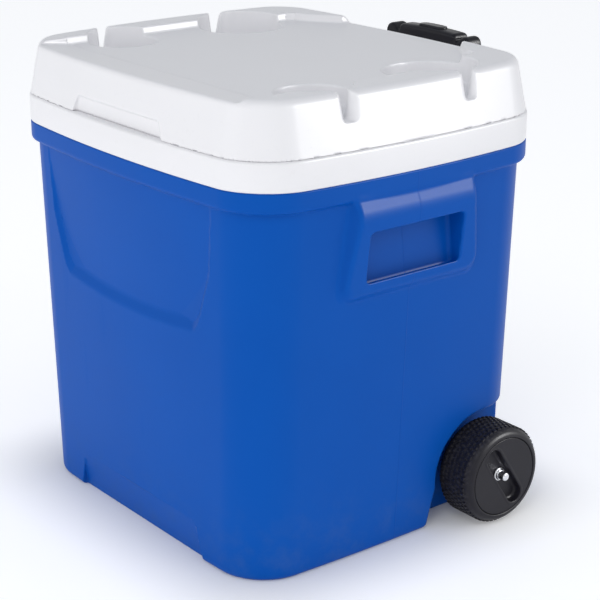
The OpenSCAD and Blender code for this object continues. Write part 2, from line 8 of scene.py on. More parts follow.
# %% Load the frame
import math
import bmesh
import bpy
import numpy as np
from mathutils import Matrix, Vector


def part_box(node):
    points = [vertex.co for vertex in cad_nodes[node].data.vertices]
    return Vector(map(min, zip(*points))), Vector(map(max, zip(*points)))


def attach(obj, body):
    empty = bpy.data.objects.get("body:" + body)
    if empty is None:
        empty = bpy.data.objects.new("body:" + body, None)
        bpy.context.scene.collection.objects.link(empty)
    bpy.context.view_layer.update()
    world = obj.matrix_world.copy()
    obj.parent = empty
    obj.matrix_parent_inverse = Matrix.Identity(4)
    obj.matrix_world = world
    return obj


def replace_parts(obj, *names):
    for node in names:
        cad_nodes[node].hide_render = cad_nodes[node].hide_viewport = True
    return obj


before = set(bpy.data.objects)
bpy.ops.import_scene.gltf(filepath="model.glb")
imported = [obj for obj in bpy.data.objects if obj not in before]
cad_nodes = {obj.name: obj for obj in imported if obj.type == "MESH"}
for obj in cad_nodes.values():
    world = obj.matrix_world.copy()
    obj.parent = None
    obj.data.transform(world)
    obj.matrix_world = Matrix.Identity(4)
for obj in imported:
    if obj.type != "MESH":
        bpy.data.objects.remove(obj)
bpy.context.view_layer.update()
for plain in list(bpy.data.materials):
    plain.name = "plain_" + plain.name
MM = 0.001


def box_mm(node):
    """Lowest and highest corner of a CAD node, in millimetres."""
    low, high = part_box(node)
    return np.array(low) / MM, np.array(high) / MM


shell_low, shell_high = box_mm("body_shell")
rim_low, rim_high = box_mm("liner")
lid_low, lid_high = box_mm("lid_shell")
collar_x, collar_y = rim_high[0], rim_high[1]
body_top, rim_top = shell_high[2], rim_high[2]
lid_foot, lid_top = lid_low[2], lid_high[2]
collar_h = 21
neck_z = body_top - collar_h
print("collar", collar_x, collar_y, "body", body_top, "rim", rim_top, "lid", lid_top)

# %% [markdown]
# ## A camera and soft light
# A product shot stands on a seamless pale sweep under large soft sources. The sky here is a
# gradient that is brighter near the horizon than overhead, as a studio with wall-sized softboxes
# is, so upright faces come out lighter than the top. Three soft panels shape the faces, and a
# fourth one, seen only in reflections, draws the highlight along the handle's slope.

# %% Camera
scene = bpy.context.scene
lens = bpy.data.cameras.new("camera")
lens.lens, lens.sensor_width = 100.8, 36
camera = bpy.data.objects.new("camera", lens)
camera.location = (1.3829, -1.0624, 0.8294)
camera.rotation_euler = Vector((-0.7381, 0.5866, -0.3333)).to_track_quat("-Z", "Y").to_euler()
scene.collection.objects.link(camera)
scene.camera = camera
scene.view_settings.view_transform = "Standard"
scene.view_settings.look = "None"
print("camera at", tuple(camera.location))


# %% Sky and panels
def softbox(name, place, aim, width, height, power):
    """A rectangular light panel at a place, turned to face a point."""
    lamp = bpy.data.lights.new(name, "AREA")
    lamp.shape, lamp.size, lamp.size_y = "RECTANGLE", width, height
    lamp.energy = power
    holder = bpy.data.objects.new(name, lamp)
    holder.location = place
    holder.rotation_euler = (Vector(aim) - Vector(place)).to_track_quat("-Z", "Y").to_euler()
    scene.collection.objects.link(holder)
    return holder


world = bpy.data.worlds.new("studio")
scene.world = world
world.use_nodes = True
sky = world.node_tree
direction = sky.nodes.new("ShaderNodeTexCoord")
height = sky.nodes.new("ShaderNodeSeparateXYZ")
fade = sky.nodes.new("ShaderNodeValToRGB")
near_horizon, overhead = fade.color_ramp.elements
near_horizon.position, near_horizon.color = 0.12, (1, 1, 1, 1)
overhead.position, overhead.color = 0.8, (0.40, 0.425, 0.47, 1)
sky.links.new(direction.outputs["Generated"], height.inputs[0])
sky.links.new(height.outputs["Z"], fade.inputs["Fac"])
sky.links.new(fade.outputs["Color"], sky.nodes["Background"].inputs["Color"])
sky.nodes["Background"].inputs["Strength"].default_value = 0.95
softbox("front_panel", (-0.6, -2.4, 1.0), (0, 0, 0.3), 1.6, 1.4, 8)
softbox("key_panel", (1.3, -1.5, 2.1), (0, 0, 0.4), 0.9, 0.9, 9)
softbox("side_panel", (2.1, 0.3, 2.0), (0.1, 0, 0.3), 1.0, 1.0, 5)
glint = softbox("glint_panel", (1.7, 1.25, 1.1), (0.22, 0, 0.37), 0.8, 0.8, 90)
glint.visible_diffuse = False


# %% [markdown]
# ## Writing materials as sums
# A node tree is easier to read as arithmetic. `Wire` wraps one output socket and turns `+`, `-`
# and `*` into Math nodes, in either order, and `Paint` makes a material and any other node.
# Everything that changes over a surface is driven by Object coordinates, so the pattern stays
# with the piece.

# %% Wires and paints
def add_node(tree, kind, settings, values):
    """A new node: its settings first, then the values or links of its sockets."""
    made = tree.nodes.new(kind)
    for key, value in settings.items():
        setattr(made, key, value)
    for key, value in values.items():
        value = getattr(value, "socket", value)
        if isinstance(value, bpy.types.NodeSocket):
            tree.links.new(value, made.inputs[key])
        else:
            made.inputs[key].default_value = value
    return made


class Wire:
    """An output socket that can be used in sums."""

    def __init__(self, paint, socket):
        self.paint, self.socket = paint, socket

    def sum(self, kind, first, second):
        return self.paint.node("ShaderNodeMath", {"operation": kind}, {0: first, 1: second})

    def __add__(self, other): return self.sum("ADD", self, other)
    __radd__ = __add__
    def __sub__(self, other): return self.sum("SUBTRACT", self, other)
    def __rsub__(self, other): return self.sum("SUBTRACT", other, self)
    def __mul__(self, other): return self.sum("MULTIPLY", self, other)
    __rmul__ = __mul__
    def __abs__(self): return self.sum("ABSOLUTE", self, 0)

    def ramp(self, low, high):
        """0 below low and 1 above high, with soft ends."""
        return self.paint.node("ShaderNodeMapRange", {"interpolation_type": "SMOOTHSTEP"},
                               {0: self, 1: low, 2: high})


class Paint:
    """A material with a Principled shader, and a short way to add nodes to it."""

    def __init__(self, name, **fixed):
        self.material = bpy.data.materials.new(name)
        self.material.use_nodes = True
        self.tree = self.material.node_tree
        self.shader = self.tree.nodes["Principled BSDF"]
        for socket, value in fixed.items():
            self.shader.inputs[socket.replace("_", " ")].default_value = value
        self.place = self.node("ShaderNodeTexCoord", {}, {}, "Object")

    def node(self, kind, settings, values, out=0):
        return Wire(self, add_node(self.tree, kind, settings, values).outputs[out])

    def noise(self, scale, detail=2.0, stretch=(1, 1, 1), rough=0.5):
        """Smooth noise of that many lumps per metre, squeezed by stretch."""
        put = self.node("ShaderNodeVectorMath", {"operation": "MULTIPLY"},
                        {0: self.place, 1: stretch})
        return self.node("ShaderNodeTexNoise", {}, {"Vector": put, "Scale": scale,
                         "Detail": detail, "Roughness": rough}, "Fac")

    def axis(self, letter):
        """One Object coordinate, in metres."""
        return self.node("ShaderNodeSeparateXYZ", {}, {0: self.place}, letter)

    def mix(self, amount, first, second):
        """Colour that runs from first to second as amount goes from 0 to 1."""
        return self.node("ShaderNodeMix", {"data_type": "RGBA"},
                         {0: amount, 6: first, 7: second}, 2)

    def bump(self, height, strength, depth, under=None):
        """Normal from a height pattern, on top of another one if given."""
        values = {"Height": height, "Strength": strength, "Distance": depth}
        if under is not None:
            values["Normal"] = under
        return self.node("ShaderNodeBump", {}, values, "Normal")

    def set(self, **wires):
        for socket, wire in wires.items():
            self.tree.links.new(wire.socket, self.shader.inputs[socket.replace("_", " ")])
        return self.material


# %% [markdown]
# ## The plastics
# The body is pigmented polyethylene from a sand-blasted mould: a satin face with a very fine
# orange peel, cloudy patches of gloss and a few rubbed streaks. A thin parting line runs up the
# middle of each side where the mould's halves met. The white parts are the same material with
# fainter clouds, and a trace of dust in the recesses.

# %% Blue shell
blue = Paint("blue_shell", IOR=1.48, Specular_IOR_Level=0.08)
cloud = blue.noise(7, 3)
peel = blue.noise(620, 2)
streak = blue.noise(55, 4, (1.0, 1.0, 0.10), 0.62)
rubbed = streak.ramp(0.60, 0.74)
height_up = blue.axis("Z")
low_dust = (1 - height_up.ramp(0.0, 0.11)) * blue.noise(38, 5, rough=0.65).ramp(0.40, 0.75)
off_middle = abs(blue.axis("Y"))
at_side = abs(blue.axis("X")).ramp(0.196, 0.199)
parting = (1 - off_middle.ramp(0.0002, 0.0009)) * at_side
tone = blue.mix(cloud, (0.0003, 0.074, 0.385, 1), (0.0006, 0.088, 0.440, 1))
tone = blue.mix(low_dust * 0.16, tone, (0.10, 0.16, 0.30, 1))
tone = blue.mix(parting * 0.25, tone, (0.001, 0.05, 0.33, 1))
fine = blue.bump(peel, 0.16, 0.00025)
fine = blue.bump(streak, 0.10, 0.0006, fine)
fine = blue.bump(parting, 0.35, 0.0004, fine)
blue_shell = blue.set(Base_Color=tone, Normal=fine,
                      Roughness=0.34 + cloud * 0.10 + rubbed * 0.07 + low_dust * 0.12)
print("blue shell:", len(blue.tree.nodes), "nodes")

# %% White plastic
white = Paint("white_plastic", IOR=1.47)
cloud = white.noise(6, 3)
peel = white.noise(700, 2)
speck = white.noise(180, 4, rough=0.7)
dust = speck.ramp(0.56, 0.78) * (1 - white.axis("Z").ramp(0.470, 0.482))
tone = white.mix(cloud, (0.79, 0.785, 0.80, 1), (0.845, 0.84, 0.86, 1))
tone = white.mix(dust * 0.12, tone, (0.60, 0.585, 0.57, 1))
fine = white.bump(peel, 0.12, 0.00022)
fine = white.bump(white.noise(22, 2), 0.05, 0.003, fine)
white_plastic = white.set(Base_Color=tone, Normal=fine,
                          Roughness=0.36 + cloud * 0.10 + speck.ramp(0.6, 0.8) * 0.10)
print("white plastic:", len(white.tree.nodes), "nodes")


# %% [markdown]
# ## The dark fittings and the metals
# Wheels, grip and brackets are black or charcoal plastic. The wheels carry dust between the
# tread's lugs, found by the distance from the axle, and the grip has a fine leather-like grain.
# The axle and its nuts are zinc-plated steel with brushed streaks, the handle's tubes anodised
# aluminium: matt charcoal outside, pale inside.

# %% Dark plastics
wheel_low, wheel_high = box_mm("wheel_right")
axle_y, axle_z = ((wheel_low + wheel_high) / 2)[1:]
wheel_r = (wheel_high[2] - wheel_low[2]) / 2


def dark_plastic(name, deep, pale, gloss, grain, strength):
    """A black plastic with a grain of that many lumps per metre."""
    paint = Paint(name, IOR=1.48, Specular_IOR_Level=0.22)
    cloud = paint.noise(30, 4, rough=0.6)
    pores = paint.noise(grain, 3)
    worn = paint.noise(90, 4, rough=0.7).ramp(0.58, 0.72)
    tone = paint.mix(cloud * 0.6 + worn * 0.25, deep, pale)
    rough = gloss + cloud * 0.12 + worn * 0.08
    return paint, tone, rough, paint.bump(pores, strength, 0.0003)


def plain_dark(*settings):
    paint, tone, rough, fine = dark_plastic(*settings)
    return paint.set(Base_Color=tone, Roughness=rough, Normal=fine)


paint, tone, rough, fine = dark_plastic(
    "black_wheel", (0.009, 0.0085, 0.013, 1), (0.024, 0.023, 0.031, 1), 0.36, 900, 0.25)
across = paint.axis("Y") - float(axle_y * MM)
upright = paint.axis("Z") - float(axle_z * MM)
from_axle = paint.node("ShaderNodeMath", {"operation": "SQRT"},
                       {0: across * across + upright * upright})
tread_m = float(wheel_r * MM)
in_tread = from_axle.ramp(tread_m - 0.0050, tread_m - 0.0028) \
    * (1 - from_axle.ramp(tread_m - 0.0014, tread_m - 0.0004))
grit = in_tread * paint.noise(260, 4, rough=0.7).ramp(0.42, 0.66)
tone = paint.mix(grit * 0.22, tone, (0.12, 0.115, 0.12, 1))
black_wheel = paint.set(Base_Color=tone, Roughness=rough + grit * 0.25, Normal=fine)

grip_plastic = plain_dark("grip_plastic", (0.007, 0.0068, 0.010, 1),
                          (0.020, 0.0195, 0.027, 1), 0.30, 1400, 0.30)
button_plastic = plain_dark("button_plastic", (0.012, 0.012, 0.016, 1),
                            (0.030, 0.030, 0.038, 1), 0.27, 1800, 0.18)
black_fitting = plain_dark("black_fitting", (0.011, 0.011, 0.014, 1),
                           (0.030, 0.030, 0.036, 1), 0.40, 1100, 0.25)
print("dark plastics made")


# %% Metals and foam
def metal(name, deep, pale, gloss, stretch):
    """A metal with streaks drawn out along one direction."""
    paint = Paint(name, Metallic=1.0)
    streak = paint.noise(900, 3, stretch, 0.6)
    stain = paint.noise(45, 5, rough=0.65)
    tone = paint.mix(streak * 0.5 + stain * 0.5, deep, pale)
    return paint.set(Base_Color=tone, Roughness=gloss + stain * 0.14 + streak * 0.08,
                     Normal=paint.bump(streak, 0.22, 0.00015))


zinc_steel = metal("zinc_steel", (0.56, 0.57, 0.60, 1), (0.80, 0.81, 0.83, 1), 0.16, (0.06, 1, 1))
tube_outer = metal("tube_outer", (0.035, 0.037, 0.045, 1), (0.07, 0.073, 0.085, 1), 0.32,
                   (1, 1, 0.03))
tube_inner = metal("tube_inner", (0.50, 0.51, 0.54, 1), (0.72, 0.73, 0.75, 1), 0.22,
                   (1, 1, 0.03))
foam_paint = Paint("foam", Roughness=0.95)
cells = foam_paint.node("ShaderNodeTexVoronoi", {}, {"Vector": foam_paint.place, "Scale": 420},
                        "Distance")
lumps = foam_paint.noise(16, 4)
foam = foam_paint.set(
    Base_Color=foam_paint.mix(lumps * 0.6 + cells * 0.4, (0.90, 0.80, 0.52, 1),
                              (0.74, 0.62, 0.36, 1)),
    Normal=foam_paint.bump(cells, 0.5, 0.0008))
print("materials", [m.name for m in bpy.data.materials])


# %% [markdown]
# ## Moulding a shape from distances
# A moulded part is a few simple volumes joined and cut, with a rounding on every edge. That is
# awkward with bevels and booleans but easy with signed distances: each volume is a function that
# is negative inside, and a join or cut can carry its own rounding. `mould` samples the finished
# function on a grid, puts one point in each cell that the surface passes through, pulls it onto
# the surface, and takes the shading normals from the function's slope, so that even a coarse
# mesh shades like the smooth part.

# %% Distance helpers
def join(a, b, r):
    """Both volumes, with a fillet of radius r where they meet."""
    return np.maximum(r, np.minimum(a, b)) - np.hypot(np.maximum(r - a, 0), np.maximum(r - b, 0))


def meet(a, b, r):
    """What both volumes share, with its edges rounded to radius r."""
    return np.minimum(-r, np.maximum(a, b)) + np.hypot(np.maximum(a + r, 0), np.maximum(b + r, 0))


def carve(a, b, r):
    """The first volume without the second, the rim rounded to radius r."""
    return meet(a, -b, r)


def beyond(u, v, start, end):
    """Distance to the left of the line from start to end."""
    du, dv = end[0] - start[0], end[1] - start[1]
    return ((v - start[1]) * du - (u - start[0]) * dv) / math.hypot(du, dv)


def pane(u, v, half_u, half_v, r):
    """Distance to a rounded rectangle about the origin."""
    qu, qv = np.abs(u) - half_u + r, np.abs(v) - half_v + r
    return np.hypot(np.maximum(qu, 0), np.maximum(qv, 0)) + np.minimum(np.maximum(qu, qv), 0) - r


def blend(a, b, t):
    return a + (b - a) * t


def bowed(x, y, half_x, half_y, r, bow):
    """Distance to a rounded rectangle whose sides bow outwards."""
    a, b = half_x - bow, half_y - bow
    u, v = x, y
    for _ in range(3):
        u, v = (x / (1 + bow / a * (1 - np.clip(v / b, -1, 1) ** 2)),
                y / (1 + bow / b * (1 - np.clip(u / a, -1, 1) ** 2)))
    return pane(u, v, a, b, r)


# %% The mould
def slope(shape, points, step=0.05):
    """Value and gradient of a shape at a list of points."""
    gradient = np.zeros_like(points)
    for corner in ((1, -1, -1), (-1, -1, 1), (-1, 1, -1), (1, 1, 1)):
        way = np.array(corner, float)
        gradient += way * shape(*(points + way * step).T)[:, None]
    return shape(*points.T), gradient / (4 * step)


def settle(shape, points, reach, rounds=3):
    """Pull points onto the surface and give the unit normals there."""
    for _ in range(rounds):
        value, gradient = slope(shape, points)
        pull = gradient * (value / np.maximum((gradient ** 2).sum(1), 0.05))[:, None]
        points = points - np.clip(pull, -reach, reach)
    gradient = slope(shape, points)[1]
    return points, gradient / np.maximum(np.linalg.norm(gradient, axis=1), 1e-9)[:, None]


def new_object(name, mesh):
    made = bpy.data.objects.new(name, mesh)
    scene.collection.objects.link(made)
    return made


def keep_result(piece):
    """Turn what a piece's modifiers make into its plain mesh."""
    mesh = bpy.data.meshes.new_from_object(
        piece.evaluated_get(bpy.context.evaluated_depsgraph_get()))
    piece.modifiers.clear()
    piece.data = mesh
    mesh.name = piece.name
    return mesh


def grid_surface(shape, low, high, cell):
    """Points and four-cornered faces of the surface on a grid."""
    axes = [np.arange(a - 1.37 * cell, b + 2.5 * cell, cell) for a, b in zip(low, high)]
    size = [len(a) for a in axes]
    field = np.broadcast_to(shape(*np.meshgrid(*axes, indexing="ij", sparse=True)), size)
    inside = field < 0
    steps = [(i, j, k) for i in (0, 1) for j in (0, 1) for k in (0, 1)]
    part = lambda grid, c: grid[tuple(slice(s, n - 1 + s) for s, n in zip(c, size))]
    filled = sum(part(inside, c).astype(np.int8) for c in steps)
    cells = np.argwhere((filled > 0) & (filled < 8))
    number = np.full([n - 1 for n in size], -1)
    number[tuple(cells.T)] = np.arange(len(cells))
    total, hits = np.zeros((len(cells), 3)), np.zeros(len(cells))
    for a in steps:
        for d in range(3):
            if a[d] == 0:
                b = tuple(s + (k == d) for k, s in enumerate(a))
                fa, fb = (field[tuple((cells + np.array(c)).T)] for c in (a, b))
                cross = (fa < 0) != (fb < 0)
                t = np.where(cross, fa / np.where(cross, fa - fb, 1), 0)
                spot = cells + np.array(a, float)
                spot[:, d] += t
                total[cross] += spot[cross]
                hits[cross] += 1
    points = np.array([a[0] for a in axes]) + total / hits[:, None] * cell
    faces = []
    for d in range(3):
        e, f = (d + 1) % 3, (d + 2) % 3
        here, there = (tuple(slice(s, size[k] - 1 + s) if k == d else slice(1, size[k] - 1)
                             for k in range(3)) for s in (0, 1))
        for flip in (False, True):
            first, second = (inside[there], inside[here]) if flip else (inside[here], inside[there])
            at = np.argwhere(first & ~second)
            at[:, e] += 1
            at[:, f] += 1
            ring = []
            for back_e, back_f in ((1, 1), (0, 1), (0, 0), (1, 0)):
                spot = at.copy()
                spot[:, e] -= back_e
                spot[:, f] -= back_f
                ring.append(number[tuple(spot.T)])
            faces.append(np.stack(ring[::-1] if flip else ring, 1))
    return points, np.concatenate(faces)


def mould(name, shape, low, high, cell, most):
    """A mesh object of a distance shape, in millimetres, with at most that many triangles."""
    points, faces = grid_surface(shape, low, high, cell)
    points, normals = settle(shape, points, cell * 0.6)
    mesh = bpy.data.meshes.new(name)
    mesh.from_pydata(points * MM, [], faces.tolist())
    made = new_object(name, mesh)
    if 2 * len(faces) > most:
        thin = made.modifiers.new("thin", "DECIMATE")
        thin.ratio = most / (2 * len(faces))
        mesh = keep_result(made)
        points = np.zeros(len(mesh.vertices) * 3)
        mesh.vertices.foreach_get("co", points)
        points, normals = settle(shape, points.reshape(-1, 3) / MM, cell * 0.3, 1)
        mesh.vertices.foreach_set("co", (points * MM).ravel())
    mesh.polygons.foreach_set("use_smooth", [True] * len(mesh.polygons))
    mesh.normals_split_custom_set_from_vertices(normals.tolist())
    mesh.update()
    print(name, len(mesh.polygons), "faces")
    return made


def fit(piece, body, finish, *stands_for):
    """Give a piece its finish, its body and the CAD nodes it stands for."""
    piece.data.materials.clear()
    piece.data.materials.append(finish)
    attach(piece, body)
    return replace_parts(piece, *stands_for)


# %% [markdown]
# ## The blue body
# The body is a tapered box whose sides bow outwards, with a collar round its top. Two handles
# are moulded onto the sides, each with a pocket that reaches up behind its bar. The front has a
# recess that is deep at its lower ledge and fades out at the neck, and a toe-kick at the foot.
# The back corners are cut away for the wheels and the underside slopes up so the cooler can tip.
# Each of these is one volume in the sum, with the rounding that its edge has.

# %% Body shape
foot_x, foot_y = 205.0, 186.25
collar_step = 5.8
neck_x, neck_y = collar_x - collar_step, collar_y - collar_step
crown, corner = 13.75, 52.0
bar_x = shell_high[0]
hand_z = neck_z - 83
badge_z = neck_z - 144
badge_y = blend(foot_y, neck_y, badge_z / neck_z)
well_x, arch_r = box_mm("washer_right")[0][0] - 0.3, wheel_r + 9
tub_wall, tub_corner = 27.5, 38
tub_z, tub_foot = 77.5, (159.5, 159.25)
tub_mouth = (collar_x - tub_wall, collar_y - tub_wall)


def wall_distance(x, y, z):
    """Distance to the plain tapered side of the body."""
    t = np.clip(z / neck_z, -0.1, 1.1)
    return bowed(x, y, blend(foot_x, neck_x, t), blend(foot_y, neck_y, t), corner,
                 blend(6, crown, t)) * 0.997


def tub_sizes(z, grow):
    """Half sizes, corner radius and bow of the space inside the liner."""
    t = (z - tub_z) / (rim_top - tub_z)
    return (blend(tub_foot[0], tub_mouth[0], t) + grow,
            blend(tub_foot[1], tub_mouth[1], t) + grow, tub_corner + grow, crown / 2)


def tub_distance(x, y, z, grow):
    return bowed(x, y, *tub_sizes(z, grow))


def side_handle(x, y, z):
    face = meet(beyond(x, z, (neck_x + 1.5, neck_z + 7), (bar_x, neck_z - 14)),
                beyond(x, z, (bar_x, neck_z - 14), (bar_x - 10.5, neck_z - 96)), 4)
    half = blend(81, 72, np.clip((z - neck_z + 80) / 87, 0, 1))
    ends = (np.abs(y) - half - 0.5 * np.clip(bar_x - x, 0, 18)) * 0.89
    below = beyond(x, z, (bar_x - 10.5, neck_z - 96), (foot_x + 8, neck_z - 105))
    return meet(face, meet(ends, below, 13), 3.5)


def hand_pocket(x, y, z):
    floor = beyond(x, z, (bar_x - 9, hand_z), (bar_x - 26, hand_z - 10))
    through = np.maximum(floor, z - hand_z - 52)
    behind = np.maximum(floor, meet(x - bar_x + 12, z - hand_z - 71, 5))
    back_wall = beyond(x, z, (bar_x - 22, hand_z - 12), (bar_x - 29, hand_z + 48))
    opening = meet(np.minimum(through, behind), np.maximum(back_wall, bar_x - 29 - x), 4)
    return meet(opening, pane(y, z - hand_z - 30.5, 61, 42.5, 12), 5)


def wheel_well(x, y, z):
    arch = np.hypot(y - axle_y, z - axle_z) - arch_r
    back = np.maximum(axle_y - y, z - axle_z - arch_r)
    front = axle_y - arch_r
    flare = np.maximum(beyond(y, z, (front - 11, -1), (front, axle_z - 12)), z - axle_z)
    return meet(np.minimum(np.minimum(arch, back), flare), well_x - x, 3)


def front_recess(x, y, z):
    inward = np.clip((y + badge_y + 20) / 27.5, 0, 1.2)
    foot = badge_z + blend(-36, 18, inward)
    half = blend(138, 117, inward) + 22.4 * np.clip((z - foot) / 60, 0, 1) \
        + 6 * np.clip((z - foot - 60) / 70, 0, 1)
    ledge = beyond(y, z, (7.5 - badge_y, badge_z + 18), (-20 - badge_y, badge_z - 36))
    t = (z - badge_z + 40) / 184
    floor = bowed(x, y, blend(foot_x, neck_x, t), blend(badge_y - 8.5, neck_y + 0.1, t), corner,
                  crown)
    recess = np.maximum(meet(meet((np.abs(x) - half) * 0.94, ledge, 7), -floor, 1.5), y)
    return np.maximum(meet(recess, z - neck_z + 1, 1), y + badge_y - 7.5)


def toe_kick(x, y, z):
    half = 105 + 11 * np.clip((44 - z) / 44, 0, 1)
    return meet(meet(np.abs(x) - half, z - 44, 9), beyond(y, z, (-185.8, 44), (-177.25, 0)), 1)


def body_shape(x, y, z):
    ax = np.abs(x)
    block = np.maximum(meet(wall_distance(x, y, z), -z, 7), z - neck_z - 2)
    collar = meet(bowed(x, y, collar_x, collar_y, corner, crown), neck_z - z, 5)
    body = join(join(block, collar, 1.8), side_handle(ax, y, z), 3)
    body = meet(body, z - body_top, 1.2)
    body = carve(body, hand_pocket(ax, y, z), 2.2)
    body = carve(body, wheel_well(ax, y, z), 2.2)
    body = carve(body, beyond(y, z, (152.25, 0), (194.25, 52)), 3)
    channel = np.maximum(np.abs(y - axle_y) - 8, z - axle_z - 8)
    body = carve(body, np.maximum(ax - well_x + 17, channel), 1)
    body = carve(body, front_recess(x, y, z), 0.9)
    body = carve(body, toe_kick(x, y, z), 0.8)
    return np.maximum(body, -np.maximum(tub_distance(x, y, z, 4), tub_z - 5 - z))


body_shell = mould("body_shell_moulded", body_shape, shell_low, shell_high, 2.5, 190000)
fit(body_shell, "body", blue_shell, "body_shell")

# %% [markdown]
# ## The white liner
# The liner is one thin moulding: a band that continues the collar upwards, a flat ledge for the
# lid to sit on, and the tub. Its section changes only with height, so it is lofted from a list
# of outlines instead of being moulded from distances, which keeps it light.


# %% Loft
def outline(half_x, half_y, r, bow):
    """Points round a rounded rectangle whose sides bow outwards."""
    a, b = half_x - bow, half_y - bow
    arc = np.radians(np.linspace(0, 90, 15))
    first = np.stack([a - r + r * np.cos(arc), b - r + r * np.sin(arc)], 1)
    run = np.linspace(1, -1, 26)[1:-1]
    far_side = np.stack([run * (a - r), run * 0 + b], 1)
    second = (first * (-1, 1))[::-1]
    left_side = np.stack([run * 0 - a, run * (b - r)], 1)
    half = np.concatenate([first, far_side, second, left_side])
    u, v = np.concatenate([half, -half]).T
    return np.stack([u * (1 + bow / a * (1 - (v / b) ** 2)),
                     v * (1 + bow / b * (1 - (u / a) ** 2))], 1)


def clean(mesh, action, kind, dist):
    """Run one mesh operator on all verts or edges, then turn the faces outwards."""
    work = bmesh.new()
    work.from_mesh(mesh)
    action(work, dist=dist, **{kind: getattr(work, kind)})
    bmesh.ops.recalc_face_normals(work, faces=work.faces)
    work.to_mesh(mesh)
    work.free()


def finish_mesh(name, points, faces, angle=40):
    """A closed mesh with its doubles merged, facing outwards and smooth up to an angle."""
    mesh = bpy.data.meshes.new(name)
    mesh.from_pydata(np.asarray(points) * MM, [], faces)
    clean(mesh, bmesh.ops.remove_doubles, "verts", 1e-6)
    mesh.polygons.foreach_set("use_smooth", [True] * len(mesh.polygons))
    mesh.set_sharp_from_angle(angle=math.radians(angle))
    return new_object(name, mesh)


def lofted(name, rings):
    """A closed solid through a list of outlines, each with its height."""
    loops = []
    for height, *sizes in rings:
        flat = outline(*sizes)
        loops.append(np.column_stack([flat, np.full(len(flat), height)]))
    count = len(loops[0])
    faces = [list(range(count)), [(len(loops) - 1) * count + i for i in range(count)]]
    for k in range(len(loops) - 1):
        for i in range(count):
            a, b = k * count + i, k * count + (i + 1) % count
            faces.append([a, b, b + count, a + count])
    return finish_mesh(name, np.concatenate(loops), faces)


def tub_ring(z, grow=0.0):
    return (z, *tub_sizes(z, grow))


def quarter(steps=6):
    """Pairs that run from (0, 1) to (1, 0) round a quarter circle."""
    return [(1 - math.cos(t), 1 - math.sin(t)) for t in np.linspace(0, math.pi / 2, steps)]


rim_ring = lambda z, inset: (z, collar_x - inset, collar_y - inset, corner - inset / 2, crown)
rings = [tub_ring(tub_z - 2.5, -18), tub_ring(tub_z - 1, 1), tub_ring(tub_z + 6, 2.5),
         tub_ring(body_top + 0.2, 2.5),
         rim_ring(body_top + 0.05, 4), rim_ring(body_top + 0.05, 0.9),
         rim_ring(body_top + 1.0, 0.1), rim_ring(body_top + 2, 0)]
rings += [rim_ring(rim_top - 2.6 * d, 2.6 * s) for s, d in quarter()]
rings += [rim_ring(rim_top, 14)]
rings += [tub_ring(rim_top - 4 * s, 4 * d) for s, d in quarter()]
floor_r = 20
rings += [tub_ring(z) for z in (380, 280, 180, 98)]
rings += [tub_ring(tub_z + floor_r * d, -floor_r * s) for s, d in quarter(7)]
rings += [(tub_z, 90, 80, 20, 3)]
liner = lofted("liner_lofted", rings)
fit(liner, "body", white_plastic, "liner")
print("liner", len(liner.data.polygons), "faces")

# %% [markdown]
# ## The lid
# The lid's sides lean inwards and its top edge is a generous round. A large panel is lowered
# between two side rims and drains to the back. Four cup recesses step down from the rims, and a
# narrow slot lets each one drain over the edge, with soft flared corners where it leaves the cup
# and the lid. The flares are simply the rounded join of a circle, a slot and the space outside.

# %% Lid shape
lid_x, lid_y, lid_corner = lid_high[0], lid_high[1], 50.0
panel_z = lid_top - 9
cup_z = rim_top + 27
finger_z = rim_top + 17.5
cups = [(165.0, -78.4, 38.0), (159.0, 76.4, 48.0)]


def lid_side(x, y, z, inset=0.0):
    lean = 9 * np.clip((z - lid_foot) / 45.75, -0.1, 1.3) + inset
    return bowed(x, y, lid_x - lean, lid_y - lean, lid_corner - lean, crown) * 0.98


def top_panel(x, y, z):
    ax, front, back = np.abs(x), -138.7, 144.7
    wide = np.maximum(np.maximum(ax - 179, front - y), y - 76.4)
    narrow = np.maximum(np.maximum(ax - 145, front - y), y - back)
    mouth = np.maximum(beyond(ax, y, (97, 176), (151, 136)), ax - 151)
    leave = np.maximum(np.minimum(ax - 97, mouth), back - 20 - y)
    plan = join(join(wide, narrow, 6), leave, 9)
    return meet(plan - (z - panel_z) * 0.35, panel_z - z, 2)


def front_ramp(x, y, z):
    above = beyond(y, z, (-138, panel_z + 0.5), (-187, lid_top - 2.2))
    return np.maximum(np.maximum(meet(np.abs(x) - 178, above, 3), y + 137), -196 - y)


def cup_recess(x, y, z, cx, cy, r):
    draft = (z - cup_z) * 0.05
    bowl = np.hypot(x - cx, y - cy) - r + 1 - draft
    slot = np.maximum(np.abs(y - cy) - 3.4 - 1.5 * draft, cx - x)
    plan = join(join(bowl, slot, 9), 2.0 - lid_side(x, y, z), 12)
    return meet(plan, cup_z - z, 3.2)


def finger_recess(x, y, z, grow=0.0):
    half = 72.5 + (finger_z - z) * 8.5 / 18.5 + grow
    return meet(meet((np.abs(x) - half) * 0.91, z - finger_z - grow, 3),
                y + lid_y - 7.5 - grow, 2)


def lid_shape(x, y, z):
    ax = np.abs(x)
    lid = meet(meet(lid_side(x, y, z), z - lid_top, 8), rim_top - z, 0.8)
    lid = carve(lid, top_panel(x, y, z), 2)
    lid = carve(lid, front_ramp(x, y, z), 2)
    for cup in cups:
        lid = carve(lid, cup_recess(ax, y, z, *cup), 2)
    lid = carve(lid, finger_recess(x, y, z), 1.6)
    under = np.maximum(lid_side(x, y, z, 6), z - lid_foot - 2.8)
    return np.maximum(lid, -np.maximum(under, -finger_recess(x, y, z, 5)))


lid_shell = mould("lid_shell_moulded", lid_shape, lid_low, lid_high, 2.0, 190000)
fit(lid_shell, "lid", white_plastic, "lid_shell")


